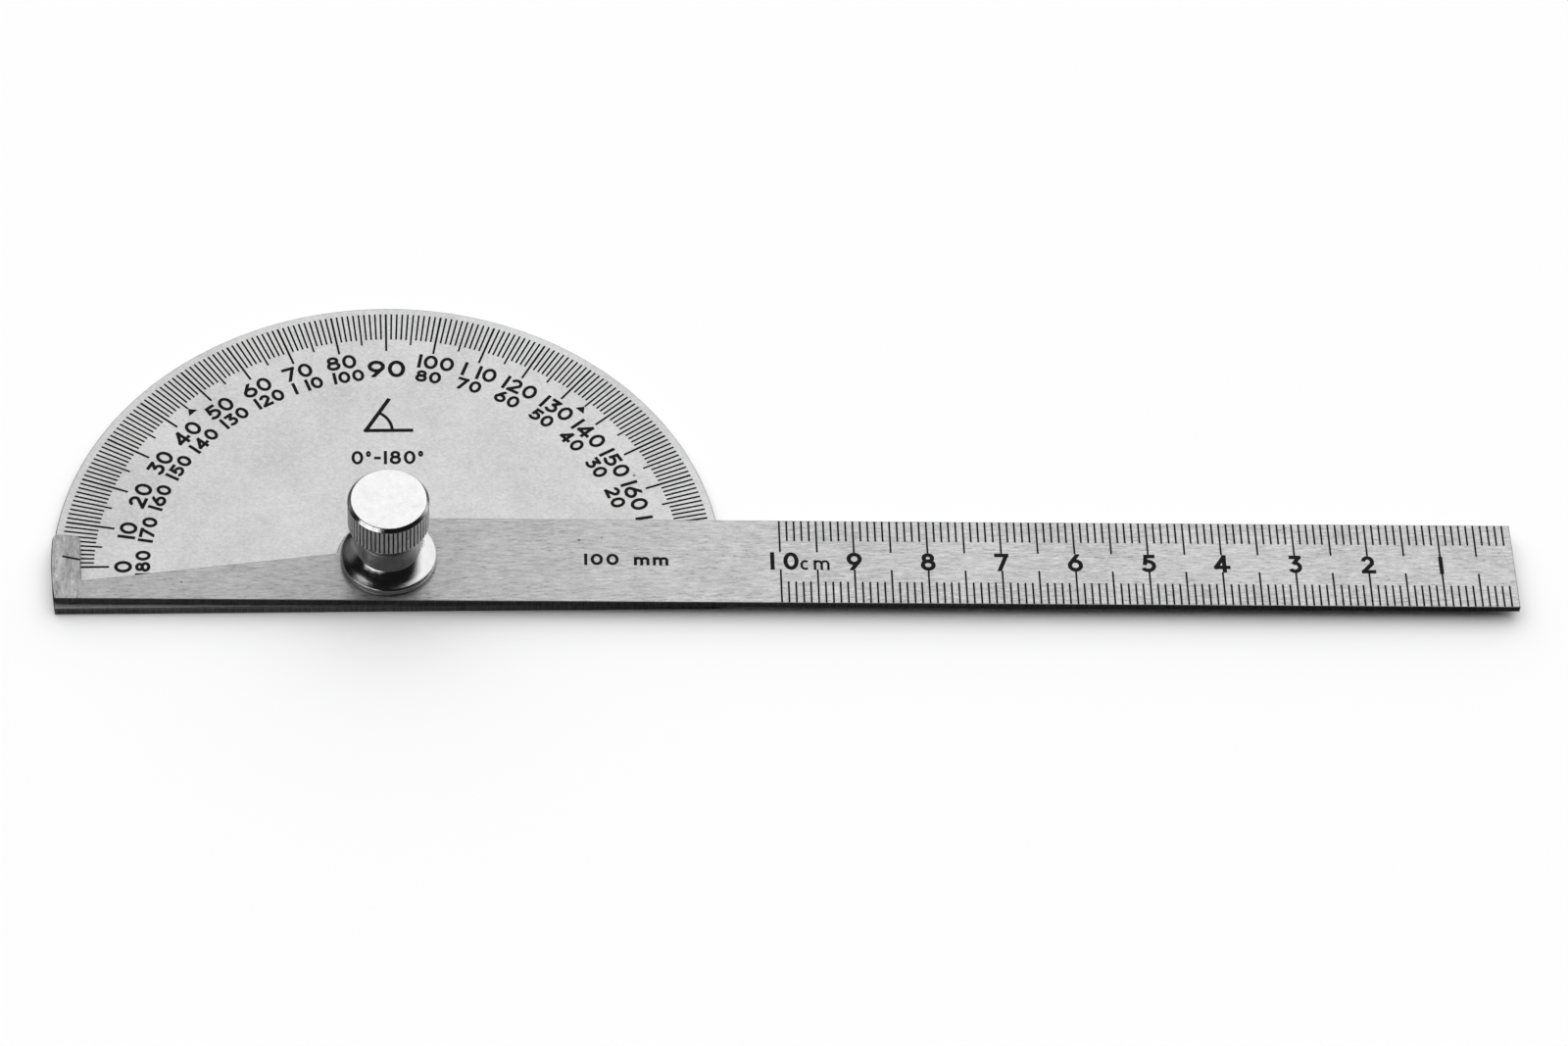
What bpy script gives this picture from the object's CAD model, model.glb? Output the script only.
"""Looks of a steel protractor: dial plate, rule arm, washers, turned knob, markings, floor, light and camera.

Lengths are in millimetres and turned into Blender's metres by MM, unless a comment says metres. The arm's
outline is drawn along its own centre line and turned to its rest angle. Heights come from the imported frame.
"""
import math

import bmesh
import bpy
from mathutils import Matrix, Vector


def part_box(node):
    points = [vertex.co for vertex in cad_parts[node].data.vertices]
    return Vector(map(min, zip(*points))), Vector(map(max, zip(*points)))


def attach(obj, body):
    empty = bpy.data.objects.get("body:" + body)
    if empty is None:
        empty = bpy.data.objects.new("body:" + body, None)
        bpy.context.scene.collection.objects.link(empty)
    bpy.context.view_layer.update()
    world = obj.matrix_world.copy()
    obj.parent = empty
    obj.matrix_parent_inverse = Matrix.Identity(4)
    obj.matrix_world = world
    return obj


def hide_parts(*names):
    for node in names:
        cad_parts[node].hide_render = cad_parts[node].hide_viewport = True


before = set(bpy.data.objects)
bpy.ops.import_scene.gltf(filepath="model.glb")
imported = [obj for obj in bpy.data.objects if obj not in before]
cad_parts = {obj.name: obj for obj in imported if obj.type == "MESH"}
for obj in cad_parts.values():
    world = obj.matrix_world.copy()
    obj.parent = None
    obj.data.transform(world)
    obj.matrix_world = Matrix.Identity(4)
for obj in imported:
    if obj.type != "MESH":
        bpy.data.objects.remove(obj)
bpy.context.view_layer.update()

MM = 0.001
TINY = 1e-6
FULL_TURN = 2 * math.pi
ARM_LEAD = math.radians(-1.024)    # the arm's rest angle


# ---------------------------------------------------------------- outlines, in millimetres

FILLET_STEPS = 6
SHARPEST_MITRE = 0.35    # keeps the corners of an inset outline from running away


def polar(radius, angle):
    return Vector((radius * math.cos(angle), radius * math.sin(angle)))


def arc(radius, start, end, count, centre=(0.0, 0.0)):
    """Points along an arc about a centre, both ends included."""
    middle = Vector(centre)
    return [middle + polar(radius, start + (end - start) * i / count) for i in range(count + 1)]


def rounded_corner(before, corner, after, radius):
    """Points of a fillet at a corner between two straight edges."""
    to_before = (before - corner).normalized()
    to_after = (after - corner).normalized()
    half = to_before.angle(to_after) / 2
    reach = radius / math.tan(half)
    middle = corner + (to_before + to_after).normalized() * (radius / math.sin(half))
    first = corner + to_before * reach - middle
    last = corner + to_after * reach - middle
    turn = first.angle_signed(last)
    turns = [Matrix.Rotation(-turn * i / FILLET_STEPS, 2) for i in range(FILLET_STEPS + 1)]
    return [middle + spin @ first for spin in turns]


def inset(points, distance):
    """A closed anticlockwise outline moved inwards by a distance."""
    moved = []
    count = len(points)
    for i, point in enumerate(points):
        back = (point - points[i - 1]).normalized()
        ahead = (points[(i + 1) % count] - point).normalized()
        left_of_back, left_of_ahead = Vector((-back.y, back.x)), Vector((-ahead.y, ahead.x))
        inward = left_of_back + left_of_ahead
        if inward.length < TINY:
            inward = left_of_back.copy()
        inward.normalize()
        share = max(inward.dot(left_of_back), SHARPEST_MITRE)
        moved.append(point + inward * (distance / share))
    return moved


# ---------------------------------------------------------------- meshes

CAP, BEVEL, SIDE = 0, 1, 2            # material slots of a sheet
EDGE_STEPS, CORNER_STEPS = 4, 3       # steps round a sheet's edge and round a turned corner
SUPPORT = 0.04                        # width of the flat ring that keeps shading crisp beside a rounding
ROUNDING_SHARE, ROOM = 0.4, 2.5       # most of a straight that a rounding takes, and what a ring needs
SHARP_ANGLE = math.radians(38)        # edges of turned pieces sharper than this aren't smoothed


def new_object(name, bm, materials):
    """Turns a bmesh in metres into an object with its materials."""
    bmesh.ops.recalc_face_normals(bm, faces=bm.faces)
    mesh = bpy.data.meshes.new(name)
    bm.to_mesh(mesh)
    bm.free()
    for material in materials:
        mesh.materials.append(material)
    piece = bpy.data.objects.new(name, mesh)
    bpy.context.scene.collection.objects.link(piece)
    return piece


def add_loop(bm, points, height, turn):
    """A ring of vertices from an outline in millimetres at a height in metres."""
    spin = Matrix.Rotation(turn, 2)
    flat = [spin @ p for p in points]
    return [bm.verts.new((p.x * MM, p.y * MM, height)) for p in flat]


def join_loops(bm, lower, upper, material):
    """A band of smooth faces between two rings of vertices."""
    count = len(lower)
    for i in range(count):
        j = (i + 1) % count
        face = bm.faces.new((lower[i], lower[j], upper[j], upper[i]))
        face.material_index = material
        face.smooth = True


def edge_profile(low, high, edge):
    """Insets in millimetres and heights in metres up the rounded edge of a sheet."""
    angles = [math.pi / 2 * i / EDGE_STEPS for i in range(EDGE_STEPS + 1)]
    rising = [(edge * (1 - math.sin(a)), low + edge * MM * (1 - math.cos(a))) for a in angles]
    rising.append((0.0, low + (edge + SUPPORT) * MM))
    falling = [(gap, low + high - height) for gap, height in reversed(rising)]
    return rising + falling


def sheet_metal(name, outline, hole, low, high, edge, materials, turn=0.0):
    """A flat plate with rounded edges and one hole, between two heights in metres.

    Its caps, bevels and sides have their own materials.
    """
    bm = bmesh.new()
    profile = edge_profile(low, high, edge)
    rings = []
    for points, direction in ((outline, 1), (hole, -1)):
        loops = [add_loop(bm, inset(points, direction * gap), height, turn) for gap, height in profile]
        for k in range(len(loops) - 1):
            upright = profile[k][0] == profile[k + 1][0] == 0.0
            join_loops(bm, loops[k], loops[k + 1], SIDE if upright else BEVEL)
        rings.append(loops)
    for level in (0, -1):
        cap_edges = []
        for loops in rings:
            ring = loops[level]
            for i, vertex in enumerate(ring):
                cap_edges.append(bm.edges.get((vertex, ring[(i + 1) % len(ring)])))
        filled = bmesh.ops.triangle_fill(bm, use_beauty=True, edges=cap_edges)
        for item in filled["geom"]:
            if isinstance(item, bmesh.types.BMFace):
                item.smooth = False
                item.material_index = CAP
    return new_object(name, bm, materials)


def soften(profile):
    """Rounds the corners of an open profile of (radius, height, material, rounding) points.

    Where enough of a straight is left, a support ring is added beside the rounding.
    """
    softened = [profile[0][:3]]
    for i in range(1, len(profile) - 1):
        before, corner, after = (Vector(profile[k][:2]) for k in (i - 1, i, i + 1))
        material, rounding = profile[i][2:]
        if rounding == 0.0:
            softened.append((corner.x, corner.y, material))
            continue
        back, ahead = before - corner, after - corner
        reach = min(rounding, ROUNDING_SHARE * back.length, ROUNDING_SHARE * ahead.length)
        first, last = corner + back.normalized() * reach, corner + ahead.normalized() * reach
        previous = profile[i - 1][2]
        if back.length > ROOM * reach + SUPPORT:
            guard = first + back.normalized() * SUPPORT
            softened.append((guard.x, guard.y, previous))
        for step in range(CORNER_STEPS + 1):
            t = step / CORNER_STEPS
            point = first * (1 - t) ** 2 + corner * 2 * t * (1 - t) + last * t ** 2
            softened.append((point.x, point.y, material))
        if ahead.length > ROOM * reach + SUPPORT:
            guard = last + ahead.normalized() * SUPPORT
            softened.append((guard.x, guard.y, material))
    softened.append(profile[-1][:3])
    return softened


def lathe(name, profile, columns, materials, base, cut=None, cut_material=None):
    """A turned piece from a (radius, height, material) profile over a base height in metres.

    cut(angle) is the largest radius allowed at an angle, for the profile's points of one material.
    """
    bm = bmesh.new()
    rings = []
    for radius, height, material in profile:
        level = base + height * MM
        if radius < TINY:
            rings.append([bm.verts.new((0, 0, level))])
            continue
        ring = []
        for i in range(columns):
            angle = FULL_TURN * i / columns
            reach = min(radius, cut(angle)) if cut and material == cut_material else radius
            ring.append(bm.verts.new((reach * math.cos(angle) * MM, reach * math.sin(angle) * MM, level)))
        rings.append(ring)
    for k in range(len(rings) - 1):
        lower, upper, material = rings[k], rings[k + 1], profile[k][2]
        for i in range(columns):
            j = (i + 1) % columns
            if len(upper) == 1:
                corners = (lower[i], lower[j], upper[0])
            elif len(lower) == 1:
                corners = (lower[0], upper[j], upper[i])
            else:
                corners = (lower[i], lower[j], upper[j], upper[i])
            face = bm.faces.new(corners)
            face.material_index = material
            face.smooth = True
    piece = new_object(name, bm, materials)
    piece.data.set_sharp_from_angle(angle=SHARP_ANGLE)
    return piece


# ---------------------------------------------------------------- node building blocks

class Nodes:
    """Short calls that add nodes to the tree of a material or of the world."""

    def __init__(self, tree):
        self.nodes, self.links = tree.nodes, tree.links

    def feed(self, value, socket):
        """Links an output to a socket, or sets the socket to a plain number."""
        if isinstance(value, (int, float)):
            socket.default_value = value
        else:
            self.links.new(value, socket)

    def combine(self, operation, first, second):
        """A math node on two values, each an output or a plain number."""
        node = self.nodes.new("ShaderNodeMath")
        node.operation = operation
        self.feed(first, node.inputs[0])
        self.feed(second, node.inputs[1])
        return node.outputs["Value"]

    def map_range(self, value, start, end, low, high, interpolation="LINEAR"):
        """Carries start to end over to low to high, held beyond both ends."""
        node = self.nodes.new("ShaderNodeMapRange")
        node.interpolation_type = interpolation
        for name, number in (("From Min", start), ("From Max", end), ("To Min", low), ("To Max", high)):
            node.inputs[name].default_value = number
        self.feed(value, node.inputs["Value"])
        return node.outputs["Result"]


class Finish(Nodes):
    """One procedural material: a Principled shader and short calls that add nodes before it."""

    def __init__(self, name, metallic):
        self.material = bpy.data.materials.new(name)
        self.material.use_nodes = True
        super().__init__(self.material.node_tree)
        self.shader = self.nodes["Principled BSDF"]
        self.shader.inputs["Metallic"].default_value = metallic
        self.place = self.nodes.new("ShaderNodeTexCoord").outputs["Object"]

    def stretched(self, scale, turn=0.0):
        """The object's own coordinates, scaled along each axis."""
        mapping = self.nodes.new("ShaderNodeMapping")
        mapping.inputs["Rotation"].default_value = (0, 0, turn)
        mapping.inputs["Scale"].default_value = scale
        self.feed(self.place, mapping.inputs["Vector"])
        return mapping.outputs["Vector"]

    def noise(self, place, detail, roughness, scale=1.0):
        """A noise value, mostly near its middle, at a place."""
        noise = self.nodes.new("ShaderNodeTexNoise")
        noise.inputs["Scale"].default_value = scale
        noise.inputs["Detail"].default_value = detail
        noise.inputs["Roughness"].default_value = roughness
        self.feed(place, noise.inputs["Vector"])
        return noise.outputs["Fac"]

    def ramp(self, value, stops):
        """Grey levels along a value: each stop is (position, grey)."""
        ramp = self.nodes.new("ShaderNodeValToRGB")
        marks = ramp.color_ramp.elements
        while len(marks) < len(stops):
            marks.new(0.5)
        for mark, (position, grey) in zip(marks, stops):
            mark.position = position
            mark.color = (grey, grey, grey, 1)
        self.feed(value, ramp.inputs["Fac"])
        return ramp.outputs["Color"]

    def spread(self, noise, low, high):
        """Spreads the middle of a noise value over low to high."""
        return self.map_range(noise, *NOISE_MIDDLE, low, high)

    def along_x(self, start, end):
        """Goes from 0 to 1 between two places on the object's X axis, in millimetres."""
        split = self.nodes.new("ShaderNodeSeparateXYZ")
        self.feed(self.place, split.inputs["Vector"])
        return self.map_range(split.outputs["X"], start * MM, end * MM, 0.0, 1.0)

    def blend(self, factor, first, second):
        """A mix of two grey values by a factor."""
        mix = self.nodes.new("ShaderNodeMix")
        self.feed(factor, mix.inputs["Factor"])
        self.feed(first, mix.inputs["A"])
        self.feed(second, mix.inputs["B"])
        return mix.outputs["Result"]

    def specks(self, density, size):
        """1 where the steel is clean, lower in a few tiny pits."""
        cells = self.nodes.new("ShaderNodeTexVoronoi")
        cells.inputs["Scale"].default_value = density
        self.feed(self.place, cells.inputs["Vector"])
        chosen = self.combine("GREATER_THAN", cells.outputs["Color"], PIT_CUTOFF)
        near = self.combine("LESS_THAN", cells.outputs["Distance"], size)
        pit = self.combine("MULTIPLY", chosen, near)
        return self.combine("SUBTRACT", 1.0, self.combine("MULTIPLY", pit, PIT_DARKNESS))

    def colour(self, value):
        self.feed(value, self.shader.inputs["Base Color"])

    def rough(self, value):
        self.feed(value, self.shader.inputs["Roughness"])

    def bump(self, height, strength, distance):
        """Relief from a value, as deep as a distance in metres."""
        bump = self.nodes.new("ShaderNodeBump")
        bump.inputs["Strength"].default_value = strength
        bump.inputs["Distance"].default_value = distance
        self.feed(height, bump.inputs["Height"])
        self.feed(bump.outputs["Normal"], self.shader.inputs["Normal"])


NOISE_MIDDLE = 0.3, 0.7
PIT_CUTOFF = 0.8        # only cells whose random grey is above this have a pit
PIT_DARKNESS = 0.6


# ---------------------------------------------------------------- materials

def dial_steel():
    """Fine satin sheet: soft cloudy mottling, a very fine grain and a few pits."""
    finish = Finish("dial_steel", metallic=0.7)
    clouds = finish.noise(finish.place, scale=75, detail=7, roughness=0.72)
    grain = finish.noise(finish.stretched((1900, 2600, 1900)), detail=5, roughness=0.85)
    tone = finish.combine("ADD", finish.spread(clouds, 0.50, 0.73), finish.spread(grain, -0.12, 0.12))
    tone = finish.combine("MULTIPLY", tone, finish.specks(260, 0.07))
    finish.colour(tone)
    finish.rough(finish.spread(clouds, 0.28, 0.42))
    finish.bump(grain, 0.3, 0.00003)
    return finish.material


def rule_steel():
    """Strip brushed along its length and duller towards the pivot; its tab is brushed across and smeared."""
    finish = Finish("rule_steel", metallic=0.7)
    along = finish.noise(finish.stretched((640, 3600, 600), -ARM_LEAD), detail=6, roughness=0.85)
    across = finish.noise(finish.stretched((1700, 380, 600), -ARM_LEAD), detail=6, roughness=0.8)
    clouds = finish.noise(finish.place, scale=110, detail=6, roughness=0.7)
    smears = finish.noise(finish.stretched((1100, 380, 600), -ARM_LEAD), detail=7, roughness=0.85)
    tab = finish.along_x(-39.5, -42.0)
    grain = finish.blend(tab, along, across)
    tone = finish.combine("ADD", finish.spread(grain, 0.22, 0.78), finish.spread(clouds, -0.05, 0.05))
    tone = finish.combine("MULTIPLY", tone, finish.specks(300, 0.07))
    dull = finish.combine("MULTIPLY", finish.along_x(42.0, 8.0), 0.19)
    smeared = finish.combine("MULTIPLY", tab, finish.spread(smears, -0.35, 0.6))
    tone = finish.combine("MULTIPLY", tone, finish.combine("SUBTRACT", 1.0, dull))
    tone = finish.combine("MULTIPLY", tone, finish.combine("SUBTRACT", 1.0, smeared))
    finish.colour(tone)
    finish.rough(finish.spread(grain, 0.24, 0.40))
    finish.bump(grain, 0.3, 0.00004)
    return finish.material


def cut_edge(name, dark, light):
    """Sheared side of a sheet: darker, with fine upright marks."""
    finish = Finish(name, metallic=1.0)
    marks = finish.noise(finish.stretched((6500, 6500, 350)), detail=3, roughness=0.7)
    finish.colour(finish.spread(marks, dark, light))
    finish.rough(finish.spread(marks, 0.42, 0.6))
    finish.bump(marks, 0.3, 0.00004)
    return finish.material


def washer_steel():
    """Plain turned ring with faint circular marks."""
    finish = Finish("washer_steel", metallic=1.0)
    marks = finish.noise(finish.stretched((900, 900, 9000)), detail=3, roughness=0.6)
    finish.colour(finish.spread(marks, 0.34, 0.44))
    finish.rough(finish.spread(marks, 0.26, 0.38))
    return finish.material


def stud_steel():
    """Plain machined steel of the stud, finely mottled."""
    finish = Finish("stud_steel", metallic=1.0)
    marks = finish.noise(finish.place, scale=1800, detail=4, roughness=0.65)
    finish.colour(finish.spread(marks, 0.42, 0.52))
    finish.rough(finish.spread(marks, 0.3, 0.42))
    finish.bump(marks, 0.2, 0.00003)
    return finish.material


def knob_chrome():
    """Polished plating over turned metal: fine rings and a slight mottling in its gloss."""
    finish = Finish("knob_chrome", metallic=1.0)
    rings = finish.noise(finish.stretched((300, 300, 6500)), detail=3, roughness=0.6)
    mottle = finish.noise(finish.place, scale=2300, detail=5, roughness=0.75)
    smudges = finish.noise(finish.place, scale=420, detail=4, roughness=0.6)
    finish.colour(finish.spread(smudges, 0.62, 0.74))
    finish.rough(finish.spread(mottle, 0.06, 0.2))
    finish.bump(finish.combine("ADD", finish.combine("MULTIPLY", rings, 0.3), mottle), 0.35, 0.00004)
    return finish.material


def knob_satin(name, metallic, dark, light):
    """Turned or rolled parts of the knob that are not polished, a little worn."""
    finish = Finish(name, metallic)
    wear = finish.noise(finish.stretched((2200, 2200, 900)), detail=5, roughness=0.7)
    finish.colour(finish.spread(wear, dark, light))
    finish.rough(finish.spread(wear, 0.26, 0.44))
    finish.bump(wear, 0.2, 0.00003)
    return finish.material


def knob_face():
    """Flat top of the knob: bright satin plating with small nicks."""
    finish = Finish("knob_face", metallic=1.0)
    smudges = finish.noise(finish.place, scale=520, detail=6, roughness=0.75)
    finish.colour(finish.combine("MULTIPLY", finish.spread(smudges, 0.68, 0.98), finish.specks(800, 0.12)))
    finish.rough(finish.spread(smudges, 0.22, 0.36))
    finish.bump(smudges, 0.15, 0.00004)
    return finish.material


def black_fill():
    """Matt black filling of the etched marks, slightly worn."""
    finish = Finish("black_fill", metallic=0.0)
    wear = finish.noise(finish.place, scale=2600, detail=4, roughness=0.7)
    finish.colour(finish.ramp(wear, [(0.3, 0.004), (0.62, 0.009), (0.8, 0.03)]))
    finish.rough(finish.spread(wear, 0.58, 0.76))
    finish.bump(wear, 0.2, 0.00001)
    finish.shader.inputs["Specular IOR Level"].default_value = 0.12
    return finish.material


# ---------------------------------------------------------------- dial plate and rule arm

PIVOT_HOLE = 2.05              # radius
RIM_STEPS, HOLE_STEPS, ROUND_STEPS, TAB_STEPS = 480, 96, 32, 48    # straight pieces in each arc
EDGE_ROUND = 0.1
EDGE_STEEL = cut_edge("deburred_edge", 0.2, 0.36)


def pivot_hole():
    """Outline of the hole for the stud."""
    return arc(PIVOT_HOLE, 0, FULL_TURN, HOLE_STEPS)[:-1]


def dial_outline():
    """Half-round with its base edge below the centre, read off the frame."""
    low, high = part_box("dial_plate")
    radius, drop = high.x / MM, -low.y / MM
    dip = math.asin(drop / radius)
    return arc(radius, -dip, math.pi + dip, RIM_STEPS)


def make_dial():
    low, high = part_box("dial_plate")
    materials = [dial_steel(), EDGE_STEEL, cut_edge("dial_side", 0.3, 0.62)]
    plate = sheet_metal("dial_plate_steel", dial_outline(), pivot_hole(), low.z, high.z, EDGE_ROUND,
                        materials)
    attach(plate, "dial")
    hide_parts("dial_plate")


def arm_outline():
    """Rule, pivot round, taper and pointer tab, anticlockwise from the rule's front corner."""
    half, reach = 7.0, 152.85                       # half width; pivot to free end
    tab, centre = 45.07, 1.0                        # radius of the tab's end, its centre above the pivot
    tab_top, tab_inner, lean = 3.8, 40.95, 0.4      # upper and inner edges of the tab, slant of the inner one
    sill, rise = 3.95, 0.9                          # taper's end below the pivot, and its start above
    crook, notch, tip = 0.25, 0.12, 0.8             # fillets at the taper's start, at its end and on the tab
    before_meet, after_top, after_tip = 0.05, 0.04, 0.004    # small steps along the arcs, in radians
    meet = math.pi - math.asin(rise / half)
    top_angle = math.pi - math.asin((tab_top - centre) / tab)
    low_angle = math.pi + math.asin((half + centre) / tab)
    middle = Vector((0.0, centre))
    top_left, just_below = (middle + polar(tab, top_angle + turn) for turn in (0.0, after_top))
    top_right = Vector((-tab_inner - lean, tab_top - lean / 2))
    sill_left, sill_right = Vector((-tab_inner, -sill)), polar(half, meet)
    points = [Vector((reach, -half)), Vector((reach, half))]
    points += arc(half, math.pi / 2, meet, ROUND_STEPS)[:-1]
    points += rounded_corner(polar(half, meet - before_meet), sill_right, sill_left, crook)
    points += rounded_corner(sill_right, sill_left, top_right, notch)
    points += rounded_corner(sill_left, top_right, top_left, tip)
    points += rounded_corner(top_right, top_left, just_below, tip)
    last = points[-1] - middle
    start = math.atan2(last.y, last.x) % FULL_TURN + after_tip
    points += arc(tab, start, low_angle, TAB_STEPS, middle)
    return points


def make_arm():
    low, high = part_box("rule_arm")
    materials = [rule_steel(), EDGE_STEEL, cut_edge("arm_side", 0.08, 0.26)]
    arm = sheet_metal("rule_arm_steel", arm_outline(), pivot_hole(), low.z, high.z, EDGE_ROUND, materials,
                      ARM_LEAD)
    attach(arm, "rule")
    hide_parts("rule_arm")


# ---------------------------------------------------------------- knob and washer

CHROME, FACE, KNURL, GROOVE, NECK = 0, 1, 2, 3, 4    # material slots of the knob
KNURL_COUNT, KNURL_SAMPLES = 56, 12
KNURL_DEPTH, GROOVE_SHARE = 0.22, 0.55
DIRT_DEPTH = 0.1                     # faces deeper than this in the grooves are dark
FOOT_RADIUS, NECK_RADIUS, RECESS_RADIUS, HEAD_RADIUS, TOP_RADIUS = 6.45, 4.2, 3.8, 5.45, 5.0
KNOB_UNDERSIDE = 0.29                # this and the next heights are above the arm
NECK_FOOT, NECK_TOP, HEAD_LOW, HEAD_HIGH, TOP, BORE_TOP = 2.7, 5.85, 7.9, 12.5, 13.0, 9.6
FOOT_BEVEL, FOOT_RIM, NECK_BEVEL, HEAD_BEVEL = 0.2, 0.93, 0.1, 0.25
FLARE_START = 0.95                   # height over the underside where the foot's hollow side begins
FLARE_RADIUS, FLARE_STEPS = 6.0, 16
RIM_SHARE = 3                        # points of the hollow side that the rim's rounding stands in for
CRISP, SOFT, RIM = 0.05, 0.12, 0.3   # roundings of the knob's edges


def knurl_limit(angle):
    """Radius left standing by the V grooves at an angle."""
    pitch = FULL_TURN / KNURL_COUNT
    phase = (angle % pitch) / pitch
    from_groove = 2 * min(phase, 1 - phase)
    return HEAD_RADIUS - KNURL_DEPTH * max(0.0, 1 - from_groove / GROOVE_SHARE)


def hollow_flare(start, end):
    """Points of the foot's hollow side, from its rim in and up to the neck, ends left out."""
    first, last = Vector(start), Vector(end)
    chord = last - first
    outward = Vector((chord.y, -chord.x)).normalized()
    centre = (first + last) / 2 + outward * math.sqrt(FLARE_RADIUS ** 2 - (chord.length / 2) ** 2)
    spoke, goal = first - centre, last - centre
    turn = spoke.angle_signed(goal)
    steps = [Matrix.Rotation(-turn * i / FLARE_STEPS, 2) for i in range(1, FLARE_STEPS)]
    return [centre + step @ spoke for step in steps]


def knob_profile():
    """The knob's turned outline over its underside, from the bore round to the centre of the top."""
    neck_foot, neck_top, head_low, head_high, top, bore_top = (
        height - KNOB_UNDERSIDE for height in (NECK_FOOT, NECK_TOP, HEAD_LOW, HEAD_HIGH, TOP, BORE_TOP))
    flare = hollow_flare((FOOT_RADIUS - FOOT_BEVEL, FLARE_START), (NECK_RADIUS, neck_foot))
    points = [
        (0.0, bore_top, CHROME, 0.0),
        (PIVOT_HOLE, bore_top, CHROME, 0.0),
        (PIVOT_HOLE, 0.0, CHROME, CRISP),
        (FOOT_RADIUS - FOOT_BEVEL, 0.0, CHROME, CRISP),
        (FOOT_RADIUS, FOOT_BEVEL, CHROME, CRISP),
        (FOOT_RADIUS, FOOT_RIM, CHROME, RIM),
    ]
    points += [(p.x, p.y, CHROME, 0.0) for p in flare[RIM_SHARE:]]
    points += [
        (NECK_RADIUS, neck_foot, NECK, SOFT),
        (NECK_RADIUS, neck_top - NECK_BEVEL, NECK, CRISP),
        (NECK_RADIUS - NECK_BEVEL, neck_top, NECK, CRISP),
        (RECESS_RADIUS, neck_top, CHROME, SOFT),
        (RECESS_RADIUS, head_low, CHROME, SOFT),
        (HEAD_RADIUS - HEAD_BEVEL, head_low, CHROME, CRISP),
        (HEAD_RADIUS, head_low + HEAD_BEVEL, KNURL, CRISP),
        (HEAD_RADIUS, head_high, CHROME, CRISP),
        (TOP_RADIUS, top, FACE, CRISP),
        (0.0, top, FACE, 0.0),
    ]
    return soften(points)


def make_knob():
    low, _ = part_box("lock_knob")
    materials = [
        knob_chrome(),
        knob_face(),
        knob_satin("knob_knurls", 0.72, 0.6, 0.95),
        knob_satin("knob_grooves", 0.9, 0.02, 0.07),
        knob_satin("knob_neck", 1.0, 0.5, 0.66),
    ]
    knob = lathe("lock_knob_turned", knob_profile(), KNURL_COUNT * KNURL_SAMPLES, materials, low.z,
                 knurl_limit, KNURL)
    for face in knob.data.polygons:
        if face.material_index == KNURL and face.center.xy.length < (HEAD_RADIUS - DIRT_DEPTH) * MM:
            face.material_index = GROOVE
    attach(knob, "knob")
    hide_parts("lock_knob")


WASHER_EDGE, WASHER_COLUMNS = 0.06, 192
WELD = 1e-7                          # metres


def make_knob_washer():
    low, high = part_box("knob_washer")
    tall, edge = (high.z - low.z) / MM, WASHER_EDGE
    outer, inner = high.x / MM, PIVOT_HOLE
    loop = [(inner, edge), (inner + edge, 0.0), (outer - edge, 0.0), (outer, edge), (outer, tall - edge),
            (outer - edge, tall), (inner + edge, tall), (inner, tall - edge), (inner, edge)]
    profile = [(radius, height, 0) for radius, height in loop]
    washer = lathe("knob_washer_steel", profile, WASHER_COLUMNS, [washer_steel()], low.z)
    bm = bmesh.new()
    bm.from_mesh(washer.data)
    bmesh.ops.remove_doubles(bm, verts=bm.verts, dist=WELD)    # the profile is closed: its ends meet
    bm.to_mesh(washer.data)
    bm.free()
    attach(washer, "washer")
    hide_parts("knob_washer")


# ---------------------------------------------------------------- nodes kept from the frame

def dress_frame_nodes():
    """Gives the CAD nodes that stay visible their finishes: the stud, the spacer and all the markings."""
    ink = black_fill()
    steels = {"pivot_stud": stud_steel(), "spacer_washer": washer_steel()}
    replaced = {"dial_plate", "rule_arm", "lock_knob", "knob_washer"}
    for name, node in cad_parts.items():
        if name in replaced:
            continue
        node.data.materials.clear()
        node.data.materials.append(steels.get(name, ink))


# ---------------------------------------------------------------- floor, light and camera

FLOOR_SIZE, FLOOR_DROP = 8.0, 0.00002    # metres
PALE, DIM = 0.93, 0.10                   # the floor as the camera sees it, and as the metal does


def make_floor():
    """Pale floor; the metal sees it dimmer than the camera does, as in a dark studio."""
    bpy.ops.mesh.primitive_plane_add(size=FLOOR_SIZE, location=(0, 0, -FLOOR_DROP))
    floor = bpy.context.object
    floor.name = "floor"
    material = bpy.data.materials.new("floor_paper")
    material.use_nodes = True
    nodes, links = material.node_tree.nodes, material.node_tree.links
    nodes.clear()
    mix, path, out = (nodes.new(kind) for kind in
                      ("ShaderNodeMixShader", "ShaderNodeLightPath", "ShaderNodeOutputMaterial"))
    links.new(path.outputs["Is Glossy Ray"], mix.inputs["Fac"])
    for socket, grey in ((1, PALE), (2, DIM)):
        paper = nodes.new("ShaderNodeBsdfDiffuse")
        paper.inputs["Color"].default_value = (grey, grey, grey, 1)
        links.new(paper.outputs["BSDF"], mix.inputs[socket])
    links.new(mix.outputs["Shader"], out.inputs["Surface"])
    floor.data.materials.append(material)


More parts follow.
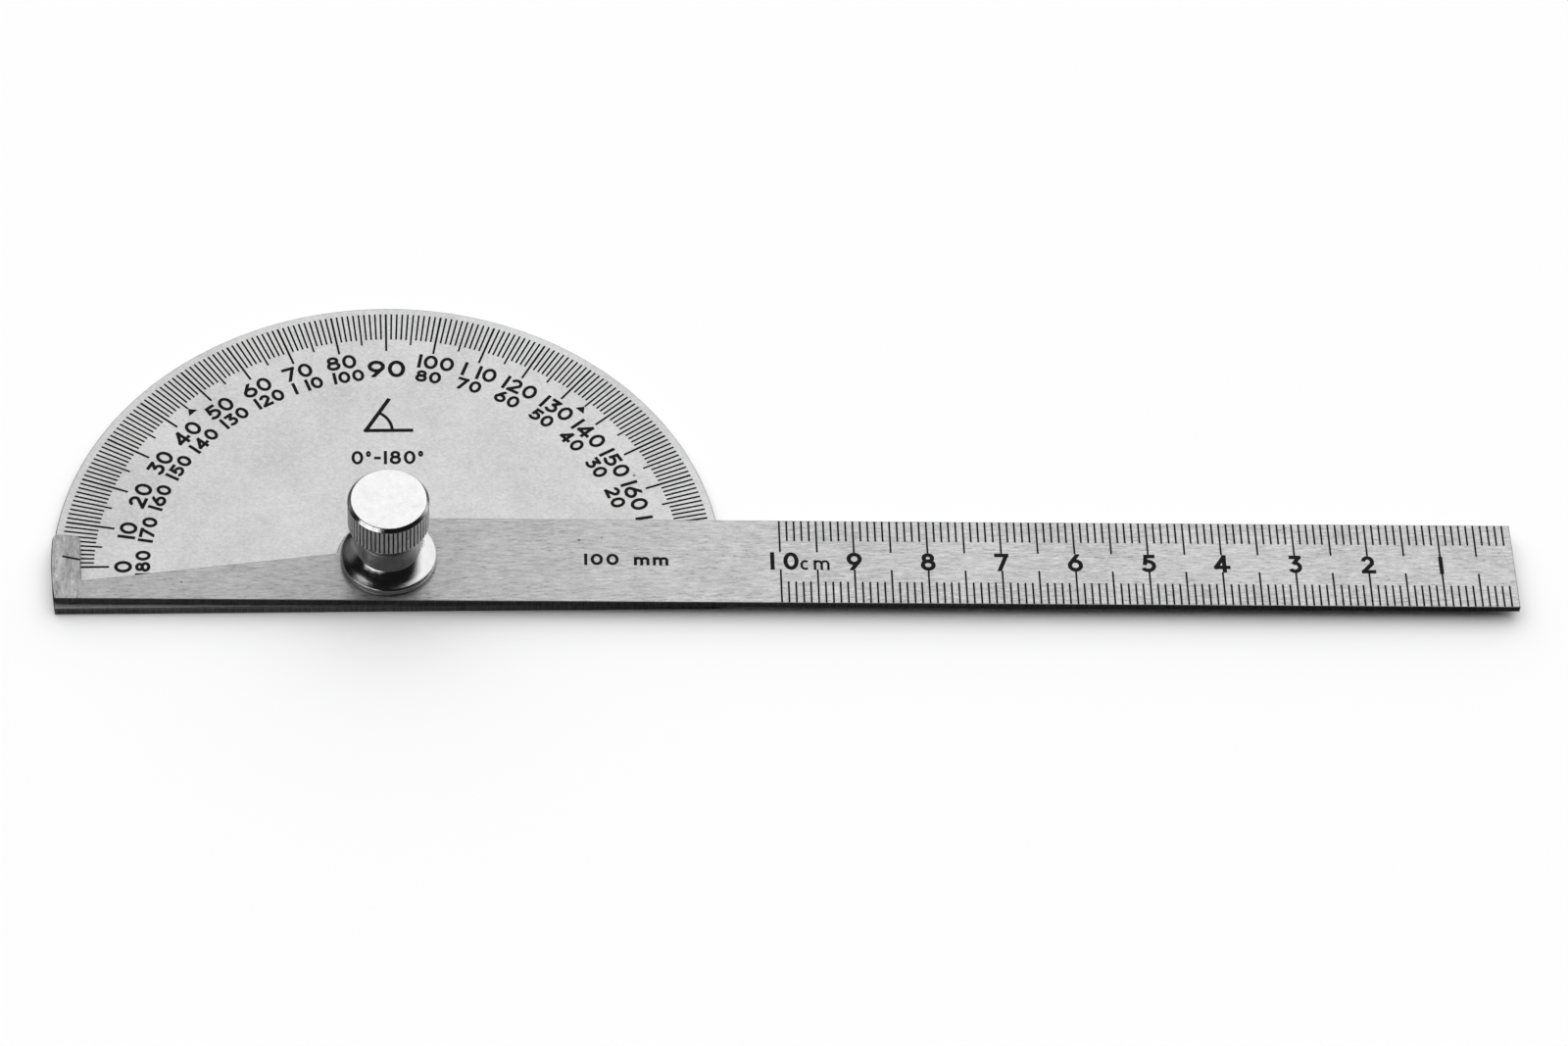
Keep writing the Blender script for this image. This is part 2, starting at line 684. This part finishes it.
class Studio(Nodes):
    """Short calls that build the studio's light as a function of direction."""

    def __init__(self, tree):
        super().__init__(tree)
        self.direction = self.nodes.new("ShaderNodeTexCoord").outputs["Generated"]

    def towards(self, direction):
        """Cosine of the angle from a direction."""
        node = self.nodes.new("ShaderNodeVectorMath")
        node.operation = "DOT_PRODUCT"
        self.feed(self.direction, node.inputs[0])
        node.inputs[1].default_value = Vector(direction).normalized()
        return node.outputs["Value"]

    def softbox(self, direction, inner, outer, strength):
        """A round soft light: full inside the inner angle, gone outside the outer one, both in degrees."""
        gone, full = math.cos(math.radians(outer)), math.cos(math.radians(inner))
        return self.map_range(self.towards(direction), gone, full, 0.0, strength, "SMOOTHSTEP")

    def horizon(self, start, end, strength):
        """A glow along the horizon that fades out between two heights, given as sines."""
        return self.map_range(self.towards((0, 0, 1)), start, end, strength, 0.0, "SMOOTHSTEP")

    def background(self, strength):
        node = self.nodes.new("ShaderNodeBackground")
        self.feed(strength, node.inputs["Strength"])
        return node.outputs["Background"]

    def choose(self, flag, other, chosen):
        """The chosen shader where the flag is 1, else the other."""
        node = self.nodes.new("ShaderNodeMixShader")
        self.feed(flag, node.inputs["Fac"])
        self.feed(other, node.inputs[1])
        self.feed(chosen, node.inputs[2])
        return node.outputs["Shader"]


SOFTBOXES = (    # direction, full within and gone beyond in degrees, strength
    ((0.50, 0.62, 0.60), 31, 54, 1.56),       # the big one, behind and to the right
    ((-0.44, -0.78, 0.44), 5, 10, 2.2),       # a narrow strip round the front left, in three
    ((-0.68, -0.61, 0.40), 6, 11, 2.2),
    ((-0.86, -0.39, 0.33), 6, 12, 1.8),
    ((-0.50, -0.04, 0.87), 3, 12, 0.8),       # a small one above, to the left
    ((-0.74, 0.60, 0.30), 8, 24, 0.16),       # a faint one behind, to the left
)
HORIZON = (0.04, 0.16, 0.3)
ROOM_GLOW = 0.012
PAPER_LIGHT = ((0.0, 0.55, 0.84), 20, 80, 2.4)


def make_world():
    """Metal reflects a dark room with softboxes; matt surfaces get one broad light; the backdrop is white."""
    world = bpy.data.worlds.new("studio")
    bpy.context.scene.world = world
    world.use_nodes = True
    world.node_tree.nodes.clear()
    studio = Studio(world.node_tree)
    seen_by_metal = ROOM_GLOW
    for light in [studio.softbox(*box) for box in SOFTBOXES] + [studio.horizon(*HORIZON)]:
        seen_by_metal = studio.combine("ADD", light, seen_by_metal)
    falling_on_paper = studio.softbox(*PAPER_LIGHT)
    path = studio.nodes.new("ShaderNodeLightPath").outputs
    shader = studio.choose(path["Is Glossy Ray"], studio.background(falling_on_paper),
                           studio.background(seen_by_metal))
    shader = studio.choose(path["Is Camera Ray"], shader, studio.background(1.0))
    studio.feed(shader, studio.nodes.new("ShaderNodeOutputWorld").inputs["Surface"])
    world.cycles.sampling_method = "NONE"    # one importance map can't fit a light that differs by ray


CAMERA_PLACE = Vector((-3.6, -465.8, 607.7)) * MM
CAMERA_AZIMUTH, CAMERA_ELEVATION, CAMERA_ROLL = -6.914, 51.88, 5.04    # degrees
LENS, SENSOR = 130.2, 36.0
CLIP_START, CLIP_END = 0.01, 20.0    # metres


def make_camera():
    """Looks down at the tool from the front with a long lens and a slight roll."""
    data = bpy.data.cameras.new("camera")
    data.lens, data.sensor_width = LENS, SENSOR
    data.clip_start, data.clip_end = CLIP_START, CLIP_END
    azimuth, elevation, roll = (math.radians(a) for a in (CAMERA_AZIMUTH, CAMERA_ELEVATION, CAMERA_ROLL))
    back = Vector((math.sin(azimuth) * math.cos(elevation), -math.cos(azimuth) * math.cos(elevation),
                   math.sin(elevation)))
    level = Vector((math.cos(azimuth), math.sin(azimuth), 0))
    upright = back.cross(level)
    right = level * math.cos(roll) + upright * math.sin(roll)
    up = back.cross(right)
    camera = bpy.data.objects.new("camera", data)
    camera.matrix_world = Matrix.Translation(CAMERA_PLACE) @ Matrix((right, up, back)).transposed().to_4x4()
    bpy.context.scene.collection.objects.link(camera)
    bpy.context.scene.camera = camera


# ---------------------------------------------------------------- the scene

make_camera()
make_dial()
make_arm()
make_knob_washer()
make_knob()
dress_frame_nodes()
make_floor()
make_world()
bpy.context.scene.view_settings.view_transform = "Standard"
